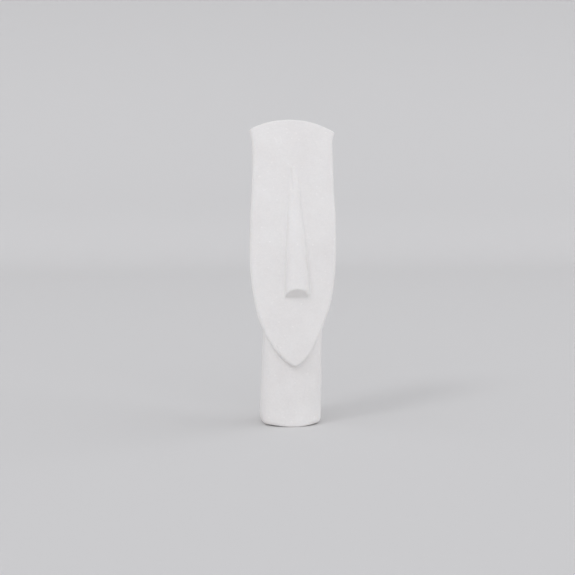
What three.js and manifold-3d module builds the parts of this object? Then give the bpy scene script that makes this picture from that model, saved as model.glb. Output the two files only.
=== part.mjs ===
// Head carved with its neck from one block of white marble.
// Millimetres. The face looks toward -Y, +Z is up, and the origin is the centre of the flat foot.
import * as THREE from "three";
import Module from "manifold-3d";

// Heights, one above the other from the foot to the crown.
const FOOT_TO_CHIN = 69.8;
const CHIN_TO_CHEEK = 133.6;
const CHEEK_TO_WAIST = 113.2;
const WAIST_TO_CROWN = 32.1;

// Front outline of the head.
const HEAD_WIDTH = 99.4;
const WAIST_WIDTH = 92.6;
const CROWN_WIDTH = 110;
const JAW_POINT = 1.45;
const JAW_ROUND = 2.26;
const CHIN_WORN = 0.7;
const CROWN_RADIUS = 114;
const CROWN_SHIFT = -3.8;
const CROWN_FALL = 5;
const CROWN_EDGE = 1.5;
const CROWN_BAND = 30;
const FALL_SHARE = 0.65;

// Face and back of the head.
const CHIN_REACH = 7;
const SLOPE_AT_CHIN = 4;
const SLOPE_AT_CROWN = 14;
const FACE_BOW = 7;
const EDGE_AT_JAW = 3;
const EDGE_AT_SIDE = 4.5;
const EDGE_GROWTH_SHARE = 0.8;
const BACK_FULLNESS = 2.4;
const NAPE_FULLNESS = 1.7;
const BACK_AT_NAPE = 27;
const BACK_AT_CHEEK = 42;
const BACK_AT_CROWN = 35;

// Neck.
const NECK_WIDTH = 71.4;
const NECK_DEPTH = 64;
const NECK_TAPER = 0.021;
const NECK_LEAN = 0.027;
const NECK_SQUARENESS = 2.5;
const NECK_IN_HEAD = 79;
const FOOT_EDGE_RADIUS = 1;

// Nose, a long wedge that widens and rises from the brow to its cut foot.
const NOSE_LENGTH = 146;
const NOSE_FOOT_HEIGHT = 78;
const NOSE_WIDTH = 28.4;
const NOSE_REACH = 13;
const NOSE_RISE = 10.4;
const NOSE_ROOT = 1.2;
const NOSE_ROUND = 1.8;
const NOSE_TIP_SHIFT = -1.3;
const NOSE_WIDENING_EXPONENT = 0.57;
const NOSE_ROOT_SIDE = 3.1;
const NOSE_FOOT_SIDE = 4.4;
const NOSE_INLET = 5;

// Sideways wander of the head's middle line, as carved: share of the head's height, then of its width.
const WANDER = [[0, 0.018], [0.12, -0.007], [0.27, 0.005], [0.52, 0.024], [0.79, 0.036], [1, 0.045]];

const HEAD_COLUMNS = 28;
const HEAD_ROWS = 46;
const JAW_CROWDING_EXPONENT = 1.5;
const CROWN_ROWS = 4;
const EDGE_ROWS = 3;
const CAP_ROWS = 6;
const NECK_SEGMENTS = 56;
const NECK_ROWS = 8;
const FOOT_ROWS = 5;
const NOSE_COLUMNS = 16;
const NOSE_ROWS = 16;
const ROOT_CROWDING_EXPONENT = 1.8;

const CHIN_Z = FOOT_TO_CHIN;
const CHEEK_Z = CHIN_Z + CHIN_TO_CHEEK;
const WAIST_Z = CHEEK_Z + CHEEK_TO_WAIST;
const CROWN_Z = WAIST_Z + WAIST_TO_CROWN;
const HEAD_HEIGHT = CROWN_Z - CHIN_Z;

const clamp = (t) => Math.min(1, Math.max(0, t));
const ease = (t) => clamp(t) * clamp(t) * (3 - 2 * clamp(t));
const tangent = (degrees) => Math.tan((degrees * Math.PI) / 180);

function wander(z) {
  const share = clamp((z - CHIN_Z) / HEAD_HEIGHT);
  const slopes = WANDER.map((_, i) => {
    const before = WANDER[Math.max(i - 1, 0)];
    const after = WANDER[Math.min(i + 1, WANDER.length - 1)];
    return (after[1] - before[1]) / (after[0] - before[0]);
  });
  let i = 0;
  while (i < WANDER.length - 2 && share > WANDER[i + 1][0]) {
    i += 1;
  }
  const step = WANDER[i + 1][0] - WANDER[i][0];
  const t = (share - WANDER[i][0]) / step;
  const tt = t * t;
  const ttt = tt * t;
  const start = (2 * ttt - 3 * tt + 1) * WANDER[i][1] + (ttt - 2 * tt + t) * step * slopes[i];
  const end = (3 * tt - 2 * ttt) * WANDER[i + 1][1] + (ttt - tt) * step * slopes[i + 1];
  return (start + end) * HEAD_WIDTH;
}

// Half the width of the front outline: a pointed shield below the cheeks, a waist, then a flare.
function halfWidth(z) {
  if (z < CHEEK_Z) {
    const drop = clamp((CHEEK_Z - z) / CHIN_TO_CHEEK);
    return (HEAD_WIDTH / 2) * Math.pow(1 - Math.pow(drop, JAW_ROUND), 1 / JAW_POINT);
  }
  const narrowing = (1 - Math.cos(Math.PI * clamp((z - CHEEK_Z) / CHEEK_TO_WAIST))) / 2;
  const flare = Math.pow(Math.max(z - WAIST_Z, 0) / WAIST_TO_CROWN, 2);
  return HEAD_WIDTH / 2 + ((WAIST_WIDTH - HEAD_WIDTH) / 2) * narrowing
    + ((CROWN_WIDTH - WAIST_WIDTH) / 2) * flare;
}

// 0 on the head's middle line, 1 on its front outline.
function spread(x, z) {
  if (z < CHEEK_Z) {
    const drop = Math.max(0, (CHEEK_Z - z) / CHIN_TO_CHEEK);
    const sum = Math.pow(Math.abs(x) / (HEAD_WIDTH / 2), JAW_POINT) + Math.pow(drop, JAW_ROUND);
    return Math.pow(sum, 1 / JAW_POINT);
  }
  return Math.abs(x) / halfWidth(z);
}

// How far a point of the face lies inside the front outline.
function margin(x, z) {
  const h = 0.05;
  const s = Math.abs(x);
  const across = (spread(s + h, z) - spread(Math.max(s - h, 0), z)) / (2 * h);
  const upward = (spread(s, z + h) - spread(s, z - h)) / (2 * h);
  return (1 - spread(s, z)) / Math.max(Math.hypot(across, upward), 1e-4);
}

function facePlane(z) {
  const t = z - CHIN_Z;
  const low = tangent(SLOPE_AT_CHIN);
  const high = tangent(SLOPE_AT_CROWN);
  return -(NECK_DEPTH / 2 + CHIN_REACH) + low * t + ((high - low) / (2 * HEAD_HEIGHT)) * t * t;
}

function backLine(z) {
  const t = (z - CHIN_Z) / HEAD_HEIGHT;
  const bulge = BACK_AT_CHEEK - (BACK_AT_NAPE + BACK_AT_CROWN) / 2;
  return BACK_AT_NAPE + (BACK_AT_CROWN - BACK_AT_NAPE) * t + bulge * 4 * t * (1 - t);
}

function edgeSize(z) {
  const growth = ease((z - CHIN_Z) / (EDGE_GROWTH_SHARE * CHIN_TO_CHEEK));
  return EDGE_AT_JAW + (EDGE_AT_SIDE - EDGE_AT_JAW) * growth;
}

const bowed = (x, z) => facePlane(z) + FACE_BOW * Math.pow(Math.abs(x) / (HEAD_WIDTH / 2), 2);

function frontY(x, z) {
  const inside = clamp(margin(x, z) / edgeSize(z));
  return bowed(x, z) + edgeSize(z) * (1 - Math.sqrt(1 - (1 - inside) * (1 - inside)));
}

function rearY(x, z) {
  const rim = bowed(halfWidth(z), z) + edgeSize(z);
  const fullness = NAPE_FULLNESS + (BACK_FULLNESS - NAPE_FULLNESS) * ease((z - CHIN_Z) / CHIN_TO_CHEEK);
  return rim + (backLine(z) - rim) * Math.sqrt(clamp(1 - Math.pow(clamp(spread(x, z)), fullness)));
}

const crownZ = (x) => CROWN_Z - Math.pow(x - CROWN_SHIFT, 2) / (2 * CROWN_RADIUS);

// Joins corners that share a place and drops the triangles that this flattens.
function weld(points, triangles) {
  const places = new Map();
  const corners = [];
  const index = points.map((p) => {
    const key = p.map((v) => Math.round(v * 1e4)).join(" ");
    if (!places.has(key)) {
      places.set(key, corners.length / 3);
      corners.push(...p);
    }
    return places.get(key);
  });
  const joined = triangles.map((t) => t.map((i) => index[i]));
  const kept = joined.filter(([a, b, c]) => a !== b && b !== c && c !== a);
  return { vertProperties: new Float32Array(corners), triVerts: new Uint32Array(kept.flat()) };
}

// Skin between equal rings that all run counter-clockwise seen from the far end.
function skin(rings) {
  const triangles = [];
  const n = rings[0].length;
  for (let r = 0; r + 1 < rings.length; r += 1) {
    for (let i = 0; i < n; i += 1) {
      const a = r * n + i;
      const b = r * n + ((i + 1) % n);
      triangles.push([a, b, b + n], [a, b + n, a + n]);
    }
  }
  return triangles;
}

function fan(points, start, n, outward) {
  const middle = [0, 1, 2].map((k) => points.slice(start, start + n).reduce((sum, p) => sum + p[k] / n, 0));
  points.push(middle);
  const hub = points.length - 1;
  const triangles = [];
  for (let i = 0; i < n; i += 1) {
    const a = start + i;
    const b = start + ((i + 1) % n);
    triangles.push(outward ? [a, b, hub] : [b, a, hub]);
  }
  return triangles;
}

// The head, ring by ring from the blunt chin tip, with the last rings following the arched crown.
function headSolid() {
  const shares = [];
  for (let i = 0; i <= HEAD_COLUMNS; i += 1) {
    shares.push(-Math.cos((Math.PI * i) / HEAD_COLUMNS));
  }
  const chinTip = CHIN_Z + CHIN_WORN;
  const lowTop = CROWN_Z - CROWN_BAND;
  const levels = [];
  for (let r = 0; r <= HEAD_ROWS; r += 1) {
    const z = chinTip + (lowTop - chinTip) * Math.pow(r / HEAD_ROWS, JAW_CROWDING_EXPONENT);
    levels.push({ height: () => z, inset: 0 });
  }
  for (let r = 1; r <= CROWN_ROWS; r += 1) {
    levels.push({ height: (x) => lowTop + ((crownZ(x) - CROWN_EDGE - lowTop) * r) / CROWN_ROWS, inset: 0 });
  }
  for (let r = 1; r <= EDGE_ROWS; r += 1) {
    const turn = (Math.PI / 2) * (r / EDGE_ROWS);
    const drop = CROWN_EDGE * (1 - Math.sin(turn));
    levels.push({ height: (x) => crownZ(x) - drop, inset: CROWN_EDGE * (1 - Math.cos(turn)) });
  }
  const place = (share, level, surface) => {
    let z = lowTop;
    for (let k = 0; k < 12; k += 1) {
      z = level.height(share * halfWidth(z));
    }
    const x = share * halfWidth(z);
    const front = frontY(0, z);
    const back = rearY(0, z);
    const middle = (front + back) / 2;
    const shrink = 1 - (2 * level.inset) / (back - front || 1);
    const fall = CROWN_FALL * ease((z - WAIST_Z) / (FALL_SHARE * WAIST_TO_CROWN));
    const y = middle + (surface(x, z) - middle) * shrink;
    const behind = clamp((y - front) / (back - front || 1));
    return [x * (1 - level.inset / (HEAD_WIDTH / 2)) + wander(z), y, z - fall * behind];
  };
  const rings = levels.map((level) => {
    const front = shares.map((share) => place(share, level, frontY));
    const rear = shares.slice(1, -1).map((share) => place(-share, level, rearY));
    return [...front, ...rear];
  });
  const points = rings.flat();
  const triangles = skin(rings);
  triangles.push(...fan(points, 0, rings[0].length, false));
  // The crown: strips from the front edge to the rear edge, one across each column.
  const n = rings[0].length;
  const start = rings.flat().length - n;
  const behind = (i) => (i === 0 || i === HEAD_COLUMNS ? start + i : start + n - i);
  const grid = shares.map((_, i) => {
    const a = points[start + i];
    const b = points[behind(i)];
    const line = [start + i];
    for (let k = 1; k < CAP_ROWS; k += 1) {
      points.push([0, 1, 2].map((axis) => a[axis] + ((b[axis] - a[axis]) * k) / CAP_ROWS));
      line.push(points.length - 1);
    }
    return [...line, behind(i)];
  });
  for (let i = 0; i < HEAD_COLUMNS; i += 1) {
    for (let k = 0; k < CAP_ROWS; k += 1) {
      triangles.push([grid[i][k], grid[i + 1][k], grid[i + 1][k + 1]]);
      triangles.push([grid[i][k], grid[i + 1][k + 1], grid[i][k + 1]]);
    }
  }
  return weld(points, triangles);
}

// The neck, a softened oval column with a worn foot edge, run well up into the head.
function neckSolid() {
  const heights = [];
  for (let r = 0; r <= FOOT_ROWS; r += 1) {
    heights.push(FOOT_EDGE_RADIUS * (1 - Math.cos((Math.PI / 2) * (r / FOOT_ROWS))));
  }
  const top = CHIN_Z + NECK_IN_HEAD;
  for (let r = 1; r <= NECK_ROWS; r += 1) {
    heights.push(FOOT_EDGE_RADIUS + ((top - FOOT_EDGE_RADIUS) * r) / NECK_ROWS);
  }
  const bend = (v) => Math.sign(v) * Math.pow(Math.abs(v), 2 / NECK_SQUARENESS);
  const rings = heights.map((z) => {
    const lift = Math.max(FOOT_EDGE_RADIUS - z, 0);
    const worn = FOOT_EDGE_RADIUS - Math.sqrt(FOOT_EDGE_RADIUS * FOOT_EDGE_RADIUS - lift * lift);
    const inset = worn + NECK_TAPER * z;
    const ring = [];
    for (let i = 0; i < NECK_SEGMENTS; i += 1) {
      const turn = (2 * Math.PI * i) / NECK_SEGMENTS;
      const x = (NECK_WIDTH / 2 - inset) * bend(Math.cos(turn)) + NECK_LEAN * z;
      ring.push([x, (NECK_DEPTH / 2 - inset) * bend(Math.sin(turn)), z]);
    }
    return ring;
  });
  const points = rings.flat();
  const triangles = skin(rings);
  triangles.push(...fan(points, 0, NECK_SEGMENTS, false));
  triangles.push(...fan(points, (rings.length - 1) * NECK_SEGMENTS, NECK_SEGMENTS, true));
  return weld(points, triangles);
}

// The nose: slanted arches on the face plane, from the brow down to the cut foot.
function noseSolid() {
  const footZ = CHIN_Z + NOSE_FOOT_HEIGHT;
  const rings = [];
  for (let r = NOSE_ROWS; r >= 0; r -= 1) {
    const share = Math.pow(r / NOSE_ROWS, ROOT_CROWDING_EXPONENT);
    const z = footZ + NOSE_LENGTH * (1 - share);
    const half = NOSE_ROOT / 2 + ((NOSE_WIDTH - NOSE_ROOT) / 2) * Math.pow(share, NOSE_WIDENING_EXPONENT);
    const reach = NOSE_ROOT + (NOSE_REACH - NOSE_ROOT) * share;
    const middle = NOSE_ROOT_SIDE + (NOSE_FOOT_SIDE - NOSE_ROOT_SIDE) * share;
    const at = (u, h) => {
      const out = Math.max(h, 0) / NOSE_REACH;
      const rise = NOSE_RISE * out;
      return [middle + half * u + NOSE_TIP_SHIFT * out, bowed(0, z + rise) - h, z + rise];
    };
    const ring = [];
    for (let i = 0; i <= NOSE_COLUMNS; i += 1) {
      const u = -Math.cos((Math.PI * i) / NOSE_COLUMNS);
      ring.push(at(u, reach * Math.sqrt(1 - Math.pow(Math.abs(u), NOSE_ROUND))));
    }
    ring.push(at(1, -NOSE_INLET), at(-1, -NOSE_INLET));
    rings.push(ring);
  }
  const n = rings[0].length;
  const points = rings.flat();
  const triangles = skin(rings);
  triangles.push(...fan(points, 0, n, false));
  triangles.push(...fan(points, (rings.length - 1) * n, n, true));
  return weld(points, triangles);
}

const wasm = await Module();
wasm.setup();
const solid = (shape) => new wasm.Manifold(new wasm.Mesh({ numProp: 3, ...shape }));
const carved = solid(headSolid()).add(solid(neckSolid())).add(solid(noseSolid())).getMesh();

const geometry = new THREE.BufferGeometry();
geometry.setAttribute("position", new THREE.BufferAttribute(new Float32Array(carved.vertProperties), 3));
geometry.setIndex(new THREE.BufferAttribute(new Uint32Array(carved.triVerts), 1));
geometry.computeVertexNormals();

const marble = new THREE.MeshStandardMaterial({ color: 0xe2dfde, roughness: 0.5, metalness: 0 });
const head = new THREE.Mesh(geometry, marble);
head.name = "marble_head";

const part = new THREE.Group();
part.name = "marble_head_on_neck";
part.add(head);

export default part;
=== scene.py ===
import math

import bpy
import numpy as np
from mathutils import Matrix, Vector, noise
from mathutils.bvhtree import BVHTree


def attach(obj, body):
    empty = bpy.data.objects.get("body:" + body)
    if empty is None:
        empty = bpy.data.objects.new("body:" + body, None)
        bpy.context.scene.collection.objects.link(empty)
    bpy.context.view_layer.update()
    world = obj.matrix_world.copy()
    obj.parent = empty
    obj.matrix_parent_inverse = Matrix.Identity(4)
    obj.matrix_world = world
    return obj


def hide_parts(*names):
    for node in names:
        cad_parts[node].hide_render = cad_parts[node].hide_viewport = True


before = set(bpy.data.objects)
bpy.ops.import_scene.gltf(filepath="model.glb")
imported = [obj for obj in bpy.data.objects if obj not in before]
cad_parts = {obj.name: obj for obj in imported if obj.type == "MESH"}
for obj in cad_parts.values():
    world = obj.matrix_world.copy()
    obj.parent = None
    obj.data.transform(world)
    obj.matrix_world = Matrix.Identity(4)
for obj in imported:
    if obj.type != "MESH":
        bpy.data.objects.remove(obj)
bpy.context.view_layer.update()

# Camera
# The photograph is taken from a little to the left and above the middle of the head, at about 1.3 m.
CAMERA_AZIMUTH = math.radians(-7.2)
CAMERA_ELEVATION = math.radians(5.0)
CAMERA_DISTANCE = 1.318
AIM_HEIGHT = 0.1565
AIM_SIDE = -0.0028
LENS_MM = 71.65

back = Vector((
    math.sin(CAMERA_AZIMUTH) * math.cos(CAMERA_ELEVATION),
    -math.cos(CAMERA_AZIMUTH) * math.cos(CAMERA_ELEVATION),
    math.sin(CAMERA_ELEVATION),
))
aim = Vector((AIM_SIDE * math.cos(CAMERA_AZIMUTH), AIM_SIDE * math.sin(CAMERA_AZIMUTH), AIM_HEIGHT))
camera_data = bpy.data.cameras.new("camera")
camera_data.lens = LENS_MM
camera_data.sensor_width = 36.0
camera = bpy.data.objects.new("camera", camera_data)
camera.location = aim + back * CAMERA_DISTANCE
camera.rotation_euler = back.to_track_quat("Z", "Y").to_euler()
bpy.context.scene.collection.objects.link(camera)
bpy.context.scene.camera = camera

# Marble head
# One block of white island marble. Head, nose and neck are carved together with abrasives, so faces are
# gently uneven, edges are softly worn and there is no joint anywhere. All sizes here are in millimetres.
FOOT_TO_CHIN = 69.8
CHIN_TO_CHEEK = 133.6
CHEEK_TO_WAIST = 113.2
WAIST_TO_CROWN = 32.1
HEAD_WIDTH = 99.4
WAIST_WIDTH = 92.6
CROWN_WIDTH = 110.0
JAW_POINT = 1.45
JAW_ROUND = 2.26
CHIN_WORN = 0.7
CROWN_RADIUS = 114.0
CROWN_SHIFT = -3.8
CROWN_FALL = 5.0
CROWN_EDGE = 1.5
CROWN_BAND = 30.0
FALL_SHARE = 0.65
CHIN_REACH = 7.0
SLOPE_AT_CHIN = 4.0
SLOPE_AT_CROWN = 14.0
FACE_BOW = 7.0
EDGE_AT_JAW = 3.0
EDGE_AT_SIDE = 4.5
EDGE_GROWTH_SHARE = 0.8
BACK_FULLNESS = 2.4
NAPE_FULLNESS = 1.7
BACK_AT_NAPE = 27.0
BACK_AT_CHEEK = 42.0
BACK_AT_CROWN = 35.0
NECK_WIDTH = 71.4
NECK_DEPTH = 64.0
NECK_TAPER = 0.021
NECK_LEAN = 0.027
NECK_SQUARENESS = 2.5
NECK_IN_HEAD = 79.0
FOOT_EDGE_RADIUS = 1.0
NOSE_LENGTH = 146.0
NOSE_FOOT_HEIGHT = 78.0
NOSE_WIDTH = 28.4
NOSE_REACH = 13.0
NOSE_RISE = 10.4
NOSE_ROOT = 1.2
NOSE_ROUND = 1.8
NOSE_TIP_SHIFT = -1.3
NOSE_WIDENING_EXPONENT = 0.57
NOSE_ROOT_SIDE = 3.1
NOSE_FOOT_SIDE = 4.4
NOSE_INLET = 5.0
# Sideways drift of the middle line: share of the head's height, then of its width.
WANDER = np.array([(0, 0.018), (0.12, -0.007), (0.27, 0.005), (0.52, 0.024), (0.79, 0.036), (1, 0.045)])

# Fillets where the forms meet, and wear that only this mesh shows.
JAW_FILLET = 2.0
NAPE_FILLET = 26.0
NAPE_START = 25.0
NAPE_RUN = 50.0
NAPE_FRONT = -12.0
NAPE_DEPTH = 34.0
NOSE_FILLET = 1.6
NOSE_EDGE = 0.8
NOSE_WEAR = 3.0
# Bevels on the foot: angle round the neck from the front, height, width.
FOOT_WEAR = ((-90, 7.5, 3.6), (90, 3, 2.6), (-42, 1.5, 3), (48, 2, 3.5))
WEAR_ROUND = 4.0
# Crown corners: side, then how deep they are worn.
CORNER_WEAR = ((-1, 2.2), (1, 1.0))
CORNER_ROUND = 2.0
ROW_CROWDING_EXPONENT = 1.5
CROWN_ROUNDS = 12

CHIN_Z = FOOT_TO_CHIN
CHEEK_Z = CHIN_Z + CHIN_TO_CHEEK
WAIST_Z = CHEEK_Z + CHEEK_TO_WAIST
CROWN_Z = WAIST_Z + WAIST_TO_CROWN
HEAD_HEIGHT = CROWN_Z - CHIN_Z


def ease(t):
    t = np.clip(t, 0, 1)
    return t * t * (3 - 2 * t)


def wander(z):
    """Sideways drift of the head's middle line, a smooth path through the WANDER points."""
    share = np.clip((z - CHIN_Z) / HEAD_HEIGHT, 0, 1)
    at, off = WANDER[:, 0], WANDER[:, 1]
    ahead = np.minimum(np.arange(len(at)) + 1, len(at) - 1)
    behind = np.maximum(np.arange(len(at)) - 1, 0)
    slope = (off[ahead] - off[behind]) / (at[ahead] - at[behind])
    i = np.clip(np.searchsorted(at, share) - 1, 0, len(at) - 2)
    step = at[i + 1] - at[i]
    t = (share - at[i]) / step
    start = (2 * t**3 - 3 * t**2 + 1) * off[i] + (t**3 - 2 * t**2 + t) * step * slope[i]
    end = (3 * t**2 - 2 * t**3) * off[i + 1] + (t**3 - t**2) * step * slope[i + 1]
    return (start + end) * HEAD_WIDTH


def half_width(z):
    drop = np.clip((CHEEK_Z - z) / CHIN_TO_CHEEK, 0, 1)
    shield = HEAD_WIDTH / 2 * (1 - drop**JAW_ROUND) ** (1 / JAW_POINT)
    narrowing = (1 - np.cos(np.pi * np.clip((z - CHEEK_Z) / CHEEK_TO_WAIST, 0, 1))) / 2
    flare = (np.maximum(z - WAIST_Z, 0) / WAIST_TO_CROWN) ** 2
    waisted = HEAD_WIDTH / 2 + (WAIST_WIDTH - HEAD_WIDTH) / 2 * narrowing
    upper = waisted + (CROWN_WIDTH - WAIST_WIDTH) / 2 * flare
    return np.where(z < CHEEK_Z, shield, upper)


def spread(x, z):
    """0 on the head's middle line, 1 on its front outline."""
    drop = np.maximum(0, (CHEEK_Z - z) / CHIN_TO_CHEEK)
    lower = ((np.abs(x) / (HEAD_WIDTH / 2)) ** JAW_POINT + drop**JAW_ROUND) ** (1 / JAW_POINT)
    return np.where(z < CHEEK_Z, lower, np.abs(x) / half_width(np.maximum(z, CHEEK_Z)))


def margin(x, z):
    """How far a point of the face lies inside the front outline."""
    h = 0.05
    s = np.abs(x)
    across = (spread(s + h, z) - spread(np.maximum(s - h, 0), z)) / (2 * h)
    upward = (spread(s, z + h) - spread(s, z - h)) / (2 * h)
    return (1 - spread(s, z)) / np.maximum(np.hypot(across, upward), 1e-4)


def face_plane(z):
    t = z - CHIN_Z
    low, high = math.tan(math.radians(SLOPE_AT_CHIN)), math.tan(math.radians(SLOPE_AT_CROWN))
    return -(NECK_DEPTH / 2 + CHIN_REACH) + low * t + (high - low) / (2 * HEAD_HEIGHT) * t * t


def back_line(z):
    t = (z - CHIN_Z) / HEAD_HEIGHT
    bulge = BACK_AT_CHEEK - (BACK_AT_NAPE + BACK_AT_CROWN) / 2
    return BACK_AT_NAPE + (BACK_AT_CROWN - BACK_AT_NAPE) * t + bulge * 4 * t * (1 - t)


def edge_size(z):
    growth = ease((z - CHIN_Z) / (EDGE_GROWTH_SHARE * CHIN_TO_CHEEK))
    return EDGE_AT_JAW + (EDGE_AT_SIDE - EDGE_AT_JAW) * growth


def bowed(x, z):
    return face_plane(z) + FACE_BOW * (np.abs(x) / (HEAD_WIDTH / 2)) ** 2


def front_y(x, z):
    inside = np.clip(margin(x, z) / edge_size(z), 0, 1)
    return bowed(x, z) + edge_size(z) * (1 - np.sqrt(1 - (1 - inside) ** 2))


def rear_y(x, z):
    rim = bowed(half_width(z), z) + edge_size(z)
    fullness = NAPE_FULLNESS + (BACK_FULLNESS - NAPE_FULLNESS) * ease((z - CHIN_Z) / CHIN_TO_CHEEK)
    bulge = np.sqrt(np.clip(1 - np.clip(spread(x, z), 0, 1) ** fullness, 0, 1))
    return rim + (back_line(z) - rim) * bulge


def crown_z(x):
    return CROWN_Z - (x - CROWN_SHIFT) ** 2 / (2 * CROWN_RADIUS)


def crown_corner(side):
    """Where the front outline meets the crown on one side."""
    z = CROWN_Z
    for _ in range(CROWN_ROUNDS):
        z = crown_z(side * half_width(z))
    return side * half_width(z) + wander(z), z


def head_skin(columns=110, rows=170, crown_rows=12, cap_rows=40):
    """The head from the chin tip up, with its last rings and its cap following the arched crown."""
    share = -np.cos(np.pi * np.arange(columns + 1) / columns)
    chin_tip, low_top = CHIN_Z + CHIN_WORN, CROWN_Z - CROWN_BAND
    heights = chin_tip + (low_top - chin_tip) * (np.arange(rows + 1) / rows) ** ROW_CROWDING_EXPONENT
    levels = [(lambda x, z=z: np.full_like(x, z), 0.0) for z in heights]
    for k in np.arange(1, crown_rows + 1) / crown_rows:
        levels.append((lambda x, k=k: low_top + (crown_z(x) - CROWN_EDGE - low_top) * k, 0.0))
    for turn in np.radians(np.arange(10, 91, 10)):
        drop, inset = CROWN_EDGE * (1 - math.sin(turn)), CROWN_EDGE * (1 - math.cos(turn))
        levels.append((lambda x, drop=drop: crown_z(x) - drop, inset))

    def ring_part(side, level, inset, surface):
        z = np.full_like(side, low_top)
        for _ in range(CROWN_ROUNDS):
            z = level(side * half_width(z))
        x = side * half_width(z)
        front, rear = front_y(np.zeros_like(x), z), rear_y(np.zeros_like(x), z)
        depth = np.maximum(rear - front, 1e-9)
        y = (front + rear) / 2 + (surface(x, z) - (front + rear) / 2) * (1 - 2 * inset / depth)
        behind = np.clip((y - front) / depth, 0, 1)
        fall = CROWN_FALL * ease((z - WAIST_Z) / (FALL_SHARE * WAIST_TO_CROWN)) * behind
        return np.stack([x * (1 - inset / (HEAD_WIDTH / 2)) + wander(z), y, z - fall], 1)

    rings = []
    for level, inset in levels:
        face = ring_part(share, level, inset, front_y)
        rings.append(np.vstack([face, ring_part(-share[1:-1], level, inset, rear_y)]))
    n = 2 * columns
    points = np.concatenate(rings)
    faces = [(r * n + i, r * n + (i + 1) % n, (r + 1) * n + (i + 1) % n, (r + 1) * n + i)
             for r in range(len(rings) - 1) for i in range(n)]
    faces.append(tuple(range(n - 1, -1, -1)))
    start = (len(rings) - 1) * n
    rear_of = [start] + [start + n - i for i in range(1, columns)] + [start + columns]
    grid = []
    for i in range(columns + 1):
        a, b = points[start + i], points[rear_of[i]]
        inner = a + (b - a) * (np.arange(1, cap_rows) / cap_rows)[:, None]
        grid.append([start + i, *range(len(points), len(points) + cap_rows - 1), rear_of[i]])
        points = np.vstack([points, inner])
    for i in range(columns):
        for k in range(cap_rows):
            faces.append((grid[i][k], grid[i + 1][k], grid[i + 1][k + 1], grid[i][k + 1]))
    return points, faces


def distance_to(tree, points):
    """Signed distance of each point to a closed skin, below zero inside."""
    out = np.empty(len(points))
    for i, p in enumerate(points.tolist()):
        near, normal, _, gap = tree.find_nearest(p)
        away = (p[0] - near[0]) * normal[0] + (p[1] - near[1]) * normal[1] + (p[2] - near[2]) * normal[2]
        out[i] = gap if away >= 0 else -gap
    return out


def joined(a, b, size):
    """The nearer of two distances, with a fillet of about that size where the skins meet."""
    overlap = np.maximum(size - np.abs(a - b), 0)
    return np.minimum(a, b) - overlap**2 / (4 * np.maximum(size, 1e-6))


def trimmed(a, b, radius):
    """The space inside both distances, its edge rounded to that radius."""
    return np.hypot(np.maximum(a + radius, 0), np.maximum(b + radius, 0)) - radius + np.minimum(
        np.maximum(a, b) + radius, 0)


def evened(level, points):
    """A level function turned into millimetres by its own steepness."""
    h = 0.05
    steep = [level(points + h * axis) - level(points - h * axis) for axis in np.eye(3)]
    return level(points) / np.maximum(np.linalg.norm(steep, axis=0) / (2 * h), 1e-3)


def neck_level(points):
    x, y, z = points.T
    taper = NECK_TAPER * z
    side = np.abs(x - NECK_LEAN * z) / (NECK_WIDTH / 2 - taper)
    front = np.abs(y) / (NECK_DEPTH / 2 - taper)
    return (side**NECK_SQUARENESS + front**NECK_SQUARENESS) ** (1 / NECK_SQUARENESS) - 1


def neck_distance(points):
    """A softened oval column run well up into the head, its foot edge worn unevenly."""
    z = points[:, 2]
    out = trimmed(evened(neck_level, points), -z, FOOT_EDGE_RADIUS)
    for turn, height, width in FOOT_WEAR:
        across, ahead = math.sin(math.radians(turn)), -math.cos(math.radians(turn))
        squared = ((abs(across) / (NECK_WIDTH / 2)) ** NECK_SQUARENESS
                   + (abs(ahead) / (NECK_DEPTH / 2)) ** NECK_SQUARENESS)
        rim = squared ** (-1 / NECK_SQUARENESS)
        outward = points[:, 0] * across + points[:, 1] * ahead
        bevel = ((outward - rim + width) * height - z * width) / math.hypot(height, width)
        out = trimmed(out, bevel, WEAR_ROUND)
    return np.maximum(out, z - CHIN_Z - NECK_IN_HEAD)


def nose_share(points):
    """Height over the face plane, and the share of the nose's length from brow to foot."""
    height = bowed(0, points[:, 2]) - points[:, 1]
    along = points[:, 2] - NOSE_RISE / NOSE_REACH * np.maximum(height, 0)
    return height, 1 - (along - CHIN_Z - NOSE_FOOT_HEIGHT) / NOSE_LENGTH


def nose_level(points):
    height, share = nose_share(points)
    share = np.clip(share, 0, 1.1)
    out = np.maximum(height, 0)
    half = NOSE_ROOT / 2 + (NOSE_WIDTH - NOSE_ROOT) / 2 * share**NOSE_WIDENING_EXPONENT
    reach = NOSE_ROOT + (NOSE_REACH - NOSE_ROOT) * share
    middle = NOSE_ROOT_SIDE + (NOSE_FOOT_SIDE - NOSE_ROOT_SIDE) * share
    side = points[:, 0] - middle - NOSE_TIP_SHIFT / NOSE_REACH * out
    return np.sqrt((np.abs(side) / half) ** NOSE_ROUND + (out / reach) ** 2) - 1


def nose_distance(points):
    """Slanted arches on the face plane, from the brow down to the cut foot."""
    height, share = nose_share(points)
    cut = (share - 1) * NOSE_LENGTH * math.cos(math.atan(NOSE_RISE / NOSE_REACH))
    worn = NOSE_EDGE + NOSE_WEAR * ease((points[:, 0] - NOSE_FOOT_SIDE) / (NOSE_WIDTH / 2))
    arch = trimmed(evened(nose_level, points), cut, worn)
    return np.maximum(np.maximum(arch, -share * NOSE_LENGTH), -height - NOSE_INLET)


skin_points, skin_faces = head_skin()
head_tree = BVHTree.FromPolygons(skin_points.tolist(), skin_faces)


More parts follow.
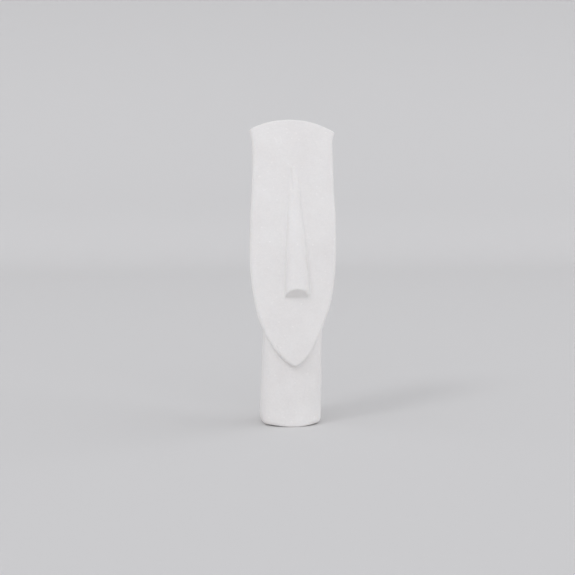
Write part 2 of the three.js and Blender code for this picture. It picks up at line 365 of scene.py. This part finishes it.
def carved(points, head_distance):
    """Distance to the whole carving, its fillet wide at the nape and tight at the jaw."""
    for side, depth in CORNER_WEAR:
        corner_x, corner_z = crown_corner(side)
        level = side * (points[:, 0] - corner_x) + points[:, 2] - corner_z
        head_distance = trimmed(head_distance, level / math.sqrt(2) + depth, CORNER_ROUND)
    above = points[:, 2] - CHIN_Z - NAPE_START
    nape = ease((points[:, 1] - NAPE_FRONT) / NAPE_DEPTH) * (1 - ease(above / NAPE_RUN))
    body = joined(head_distance, neck_distance(points), JAW_FILLET + (NAPE_FILLET - JAW_FILLET) * nape)
    return joined(body, nose_distance(points), NOSE_FILLET)


def lattice(low, counts, step):
    axes = [low[k] + step * np.arange(counts[k]) for k in range(3)]
    return np.stack(np.meshgrid(*axes, indexing="ij"), -1).reshape(-1, 3)


# A lattice round the head: its cell, cells to a coarse block, half the diagonal of a block and a margin.
CELL = 1.25
COARSE = 4
HALF_DIAGONAL = 0.87
MARGIN = 2
low = np.array([-56.0, -64.0, -6.0])
blocks = np.array([23, 23, 73])
coarse_points = lattice(low + CELL * COARSE / 2, blocks, CELL * COARSE)
coarse_head = distance_to(head_tree, coarse_points)
counts = blocks * COARSE


def spread_out(values):
    grid = values.reshape(blocks)
    for axis in range(3):
        grid = np.repeat(grid, COARSE, axis)
    return grid.reshape(-1)


fine_points = lattice(low + CELL / 2, counts, CELL)
fine_head = spread_out(coarse_head)
near = np.abs(spread_out(carved(coarse_points, coarse_head))) < CELL * COARSE * HALF_DIAGONAL + MARGIN
fine_head[near] = distance_to(head_tree, fine_points[near])
field = carved(fine_points, fine_head).reshape(counts)


def surface_net(values, origin, step):
    """Quads round the zero level of a field on a lattice, one corner in each cell that it crosses."""
    inside = values < 0
    cells = np.array(values.shape) - 1
    total = np.zeros((*cells, 3))
    hits = np.zeros(cells)
    crossing = []
    for axis in range(3):
        near = [slice(None)] * 3
        far = [slice(None)] * 3
        near[axis], far[axis] = slice(0, -1), slice(1, None)
        a, b = values[tuple(near)], values[tuple(far)]
        where = np.argwhere(inside[tuple(near)] != inside[tuple(far)])
        t = a[tuple(where.T)] / (a[tuple(where.T)] - b[tuple(where.T)])
        spot = where.astype(float)
        spot[:, axis] += t
        others = [k for k in range(3) if k != axis]
        for du in (0, 1):
            for dv in (0, 1):
                cell = where.copy()
                cell[:, others[0]] -= du
                cell[:, others[1]] -= dv
                np.add.at(total, tuple(cell.T), spot)
                np.add.at(hits, tuple(cell.T), 1)
        crossing.append((axis, others, where, inside[tuple(near)][tuple(where.T)]))
    used = hits > 0
    number = np.full(hits.shape, -1)
    number[used] = np.arange(used.sum())
    corners = origin + step * total[used] / hits[used][:, None]
    quads = []
    for axis, (u, v), where, leaving in crossing:
        loop = []
        for du, dv in ((0, 0), (1, 0), (1, 1), (0, 1)):
            cell = where.copy()
            cell[:, u] -= du
            cell[:, v] -= dv
            loop.append(number[tuple(cell.T)])
        loop = np.stack(loop, 1)
        flip = leaving if axis != 1 else ~leaving
        quads.append(np.where(flip[:, None], loop, loop[:, ::-1]))
    return corners, np.concatenate(quads)


corners, quads = surface_net(field, low + CELL / 2, CELL)
slope = np.stack(np.gradient(field, CELL), -1)


def smooth_normals(points):
    """The field's own slope at points, between the lattice's places."""
    spot = np.clip((points - low - CELL / 2) / CELL, 0, np.array(field.shape) - 1.001)
    base = spot.astype(int)
    part = spot - base
    out = np.zeros_like(points)
    for dx in (0, 1):
        for dy in (0, 1):
            for dz in (0, 1):
                weight = np.abs(1 - dx - part[:, 0]) * np.abs(1 - dy - part[:, 1])
                weight = weight * np.abs(1 - dz - part[:, 2])
                out += weight[:, None] * slope[base[:, 0] + dx, base[:, 1] + dy, base[:, 2] + dz]
    return out / np.maximum(np.linalg.norm(out, axis=1, keepdims=True), 1e-9)


RELAXING = 0.6
RELAXING_ROUNDS = 3


def relaxed(points, quads):
    """Each corner moved towards the mean of its neighbours."""
    total = np.zeros_like(points)
    hits = np.zeros(len(points))
    for a, b in ((0, 1), (1, 2), (2, 3), (3, 0)):
        np.add.at(total, quads[:, a], points[quads[:, b]])
        np.add.at(total, quads[:, b], points[quads[:, a]])
        np.add.at(hits, quads[:, a], 1)
        np.add.at(hits, quads[:, b], 1)
    return points * (1 - RELAXING) + RELAXING * total / hits[:, None]


for _ in range(RELAXING_ROUNDS):
    corners = relaxed(corners, quads)
    gap = carved(corners, distance_to(head_tree, corners))
    corners = corners - gap[:, None] * smooth_normals(corners)

# Slow swells, rubbing marks and grain: how high and how far apart.
SWELL, SWELL_SIZE = 0.55, 34.0
RUBBING, RUBBING_SIZE = 0.22, 11.0
GRAIN, GRAIN_SIZE = 0.07, 3.2


def worked(points):
    """How far hand finishing leaves the skin from its true form."""
    out = np.empty(len(points))
    for i, p in enumerate(points.tolist()):
        spot = Vector(p)
        out[i] = (SWELL * noise.noise(spot / SWELL_SIZE) + RUBBING * noise.noise(spot / RUBBING_SIZE)
                  + GRAIN * noise.noise(spot / GRAIN_SIZE))
    return out


normals = smooth_normals(corners)
corners = corners + worked(corners)[:, None] * normals
corners[:, 2] = np.maximum(corners[:, 2], 0)
head_mesh = bpy.data.meshes.new("marble_head_carving")
head_mesh.from_pydata((corners / 1000).tolist(), [], quads.tolist())
head_mesh.polygons.foreach_set("use_smooth", [True] * len(head_mesh.polygons))
head = bpy.data.objects.new("marble_head_carving", head_mesh)
bpy.context.scene.collection.objects.link(head)


def linear_colour(hex_value):
    """An sRGB hex colour as the linear values that a shader takes."""
    parts = [int(hex_value[i:i + 2], 16) / 255 for i in (1, 3, 5)]
    return [*(p / 12.92 if p <= 0.04045 else ((p + 0.055) / 1.055) ** 2.4 for p in parts), 1.0]


def add_node(tree, kind, settings=(), values=(), links=()):
    """A node with its settings, its unlinked values and the links into it."""
    node = tree.nodes.new(kind)
    for name, value in dict(settings).items():
        setattr(node, name, value)
    for name, value in dict(values).items():
        node.inputs[name].default_value = value
    for name, source in dict(links).items():
        tree.links.new(source, node.inputs[name])
    return node


def near_mark(tree, place, start, end, width):
    """1 on a short straight mark, fading to 0 at that distance from it."""
    # Depth into the stone counts little, so that a mark need not lie exactly on the skin.
    flat = (1.0, 0.05, 1.0)
    first, last = (Vector([p / 1000 * f for p, f in zip(spot, flat)]) for spot in (start, end))
    run = last - first
    scaled = add_node(tree, "ShaderNodeVectorMath", {"operation": "MULTIPLY"}, {1: flat}, {0: place})
    here = add_node(tree, "ShaderNodeVectorMath", {"operation": "SUBTRACT"}, {1: first},
                    {0: scaled.outputs["Vector"]})
    along = add_node(tree, "ShaderNodeVectorMath", {"operation": "DOT_PRODUCT"},
                     {1: run / run.length_squared}, {0: here.outputs["Vector"]})
    held = add_node(tree, "ShaderNodeClamp", links={"Value": along.outputs["Value"]})
    nearest = add_node(tree, "ShaderNodeVectorMath", {"operation": "SCALE"}, {0: run},
                       {"Scale": held.outputs["Result"]})
    away = add_node(tree, "ShaderNodeVectorMath", {"operation": "DISTANCE"},
                    links={0: here.outputs["Vector"], 1: nearest.outputs["Vector"]})
    fade = add_node(tree, "ShaderNodeMapRange", {"interpolation_type": "SMOOTHSTEP"},
                    {"From Min": 0.0, "From Max": width / 1000, "To Min": 1.0, "To Max": 0.0},
                    {"Value": away.outputs["Value"]})
    return fade.outputs["Result"]


# Marks, each with start, end and width, then how much lighter or darker it is: the first two are painted
# shade and a painted highlight on the left and right sides of the nose's root, the middle two are
# lighter marks of carving and handling near the crown, and the last two are painted shade along the left
# jaw.
MARKS_AND_PAINTED_SHADING = (
    ((0.5, -7.5, 292.7), (1.6, -12.3, 269.5), 1.5, -0.06),
    ((4.0, -8.3, 288.8), (6.7, -10.9, 276.3), 1.4, 0.035),
    ((-17.7, 0.5, 328.4), (-15.0, -1.1, 321.6), 1.2, 0.03),
    ((-11.3, 0.8, 329.6), (-9.8, -1.1, 321.6), 1.2, 0.03),
    ((-19.4, -37.1, 94.0), (-17.2, -37.5, 89.5), 1.3, -0.08),
    ((-16.6, -37.7, 87.3), (-15.0, -38.0, 82.8), 1.3, -0.08),
)


# Sizes in the stone, in metres.
CLOUD_SIZE = 0.045
CRYSTAL_SIZE = 0.0016
RUB_SIZE = 0.0025
RUB_DEPTH = 0.00005


def white_marble():
    """White marble rubbed to a dull satin, faintly clouded, its crystals of 1 to 2 mm catching light, a
    few of them painted lighter as painted glints, with painted shade and a painted highlight at the
    nose's root and painted shade along the left jaw.
    """
    material = bpy.data.materials.new("white island marble")
    material.use_nodes = True
    tree = material.node_tree
    shader = tree.nodes["Principled BSDF"]
    place = add_node(tree, "ShaderNodeTexCoord").outputs["Object"]
    clouding = add_node(tree, "ShaderNodeTexNoise", links={"Vector": place},
                        values={"Scale": 1 / CLOUD_SIZE, "Detail": 4.0, "Roughness": 0.6})
    crystals = add_node(tree, "ShaderNodeTexVoronoi", links={"Vector": place},
                        values={"Scale": 1 / CRYSTAL_SIZE})
    shade = add_node(tree, "ShaderNodeSeparateColor", links={"Color": crystals.outputs["Color"]})
    base = add_node(tree, "ShaderNodeValToRGB", links={"Fac": clouding.outputs["Fac"]})
    base.color_ramp.elements[0].position = 0.3
    base.color_ramp.elements[0].color = linear_colour("#E6E3E1")
    base.color_ramp.elements[1].position = 0.7
    base.color_ramp.elements[1].color = linear_colour("#EBE9E7")
    speckle = add_node(tree, "ShaderNodeMapRange", values={"To Min": 0.985, "To Max": 1.015},
                       links={"Value": shade.outputs["Red"]})
    # Painted glints: a few crystals are painted lighter in the colour, standing in for light caught on
    # their faces.
    painted_glint = add_node(tree, "ShaderNodeMapRange",
                       values={"From Min": 0.992, "From Max": 0.995, "To Min": 0.0, "To Max": 0.06},
                       links={"Value": shade.outputs["Green"]})
    tone_with_painted_light = add_node(tree, "ShaderNodeMath", {"operation": "ADD"},
                    links={0: speckle.outputs["Result"], 1: painted_glint.outputs["Result"]})
    # Painted shade and a painted highlight beside the nose's root, painted shade along the left jaw, and
    # two lighter carving marks near the crown, all scaling the colour.
    for start, end, width, change in MARKS_AND_PAINTED_SHADING:
        tone_with_painted_light = add_node(tree, "ShaderNodeMath", {"operation": "MULTIPLY_ADD"}, {1: change},
                        {0: near_mark(tree, place, start, end, width), 2: tone_with_painted_light.outputs["Value"]})
    toned = add_node(tree, "ShaderNodeVectorMath", {"operation": "SCALE"},
                     links={"Vector": base.outputs["Color"], "Scale": tone_with_painted_light.outputs["Value"]})
    tree.links.new(toned.outputs["Vector"], shader.inputs["Base Color"])
    gloss = add_node(tree, "ShaderNodeMapRange", links={"Value": shade.outputs["Green"]},
                     values={"From Min": 0.93, "From Max": 1.0, "To Min": 0.6, "To Max": 0.35})
    tree.links.new(gloss.outputs["Result"], shader.inputs["Roughness"])
    rub = add_node(tree, "ShaderNodeTexNoise", links={"Vector": place},
                   values={"Scale": 1 / RUB_SIZE, "Detail": 3.0})
    relief = add_node(tree, "ShaderNodeMath", {"operation": "ADD"},
                      links={0: rub.outputs["Fac"], 1: shade.outputs["Blue"]})
    bump = add_node(tree, "ShaderNodeBump", values={"Strength": 0.25, "Distance": RUB_DEPTH},
                    links={"Height": relief.outputs["Value"]})
    tree.links.new(bump.outputs["Normal"], shader.inputs["Normal"])
    shader.inputs["IOR"].default_value = 1.5
    shader.inputs["Subsurface Weight"].default_value = 0.15
    shader.inputs["Subsurface Radius"].default_value = (1.0, 0.9, 0.8)
    shader.inputs["Subsurface Scale"].default_value = 0.003
    return material


head_mesh.materials.append(white_marble())
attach(head, "root")
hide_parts("marble_head")

# Floor
# A pale seamless paper sweep, plain and matt. It lies flat under the head, then curves up into a wall
# well behind it.
SWEEP_HALF_WIDTH = 7.0
SWEEP_FRONT, SWEEP_BACK, SWEEP_BEND, SWEEP_HEIGHT = -6.0, 2.4, 1.2, 6.0


def paper_sweep():
    bend = np.radians(np.arange(0, 91, 5))
    profile = [(SWEEP_FRONT, 0.0)]
    for turn in bend:
        profile.append((SWEEP_BACK + SWEEP_BEND * math.sin(turn), SWEEP_BEND * (1 - math.cos(turn))))
    profile.append((SWEEP_BACK + SWEEP_BEND, SWEEP_HEIGHT))
    points = [(side * SWEEP_HALF_WIDTH, y, z) for y, z in profile for side in (-1, 1)]
    faces = [(2 * i, 2 * i + 1, 2 * i + 3, 2 * i + 2) for i in range(len(profile) - 1)]
    mesh = bpy.data.meshes.new("paper_sweep")
    mesh.from_pydata(points, [], faces)
    mesh.polygons.foreach_set("use_smooth", [True] * len(mesh.polygons))
    return mesh


def matt_pale_paper():
    """Matt grey-white paper, its colour painted a touch darker where it curves up toward the lamps,
    painted shade that makes it look even.
    """
    material = bpy.data.materials.new("matt pale paper")
    material.use_nodes = True
    tree = material.node_tree
    shader = tree.nodes["Principled BSDF"]
    place = add_node(tree, "ShaderNodeTexCoord").outputs["Object"]
    height = add_node(tree, "ShaderNodeSeparateXYZ", links={"Vector": place}).outputs["Z"]
    # Painted shade: the paper's colour darkens as it rises, so the bend, which faces the lamps more,
    # looks as even as the floor.
    tone_with_painted_light = add_node(tree, "ShaderNodeMapRange", {"interpolation_type": "SMOOTHSTEP"},
                    {"From Min": 0.03, "From Max": 0.24, "To Min": 1.0, "To Max": 0.945},
                    {"Value": height})
    colour = add_node(tree, "ShaderNodeVectorMath", {"operation": "SCALE"},
                      {0: linear_colour("#D5D4D3")[:3]}, {"Scale": tone_with_painted_light.outputs["Result"]})
    tree.links.new(colour.outputs["Vector"], shader.inputs["Base Color"])
    shader.inputs["Roughness"].default_value = 0.95
    shader.inputs["Specular IOR Level"].default_value = 0.1
    return material


floor = bpy.data.objects.new("paper_sweep", paper_sweep())
floor.data.materials.append(matt_pale_paper())
bpy.context.scene.collection.objects.link(floor)

# Light
# Very broad soft boxes on the left, in front and on the right, a smaller one high on the left for the
# shadow of the chin, and even light from all round.
LIGHT_COLOUR = linear_colour("#FAFBFF")
scene = bpy.context.scene
scene.view_settings.view_transform = "Standard"
world = bpy.data.worlds.new("studio")
world.use_nodes = True
world.node_tree.nodes["Background"].inputs["Color"].default_value = LIGHT_COLOUR
world.node_tree.nodes["Background"].inputs["Strength"].default_value = 0.5175
scene.world = world


def soft_box(name, azimuth, elevation, width, strength):
    """A far lamp that fills that many degrees of view, at an azimuth and elevation from the head."""
    a, e = math.radians(azimuth), math.radians(elevation)
    data = bpy.data.lights.new(name, "SUN")
    data.angle = math.radians(width)
    data.energy = math.pi * strength
    data.color = LIGHT_COLOUR[:3]
    lamp = bpy.data.objects.new(name, data)
    toward = Vector((math.sin(a) * math.cos(e), -math.cos(a) * math.cos(e), math.sin(e)))
    lamp.rotation_euler = toward.to_track_quat("Z", "Y").to_euler()
    scene.collection.objects.link(lamp)


soft_box("left", -90, 30, 80, 0.1604)
soft_box("front", 0, 12, 80, 0.3209)
soft_box("right", 95, 28, 80, 0.3312)
soft_box("high left", -50, 45, 16, 0.1346)
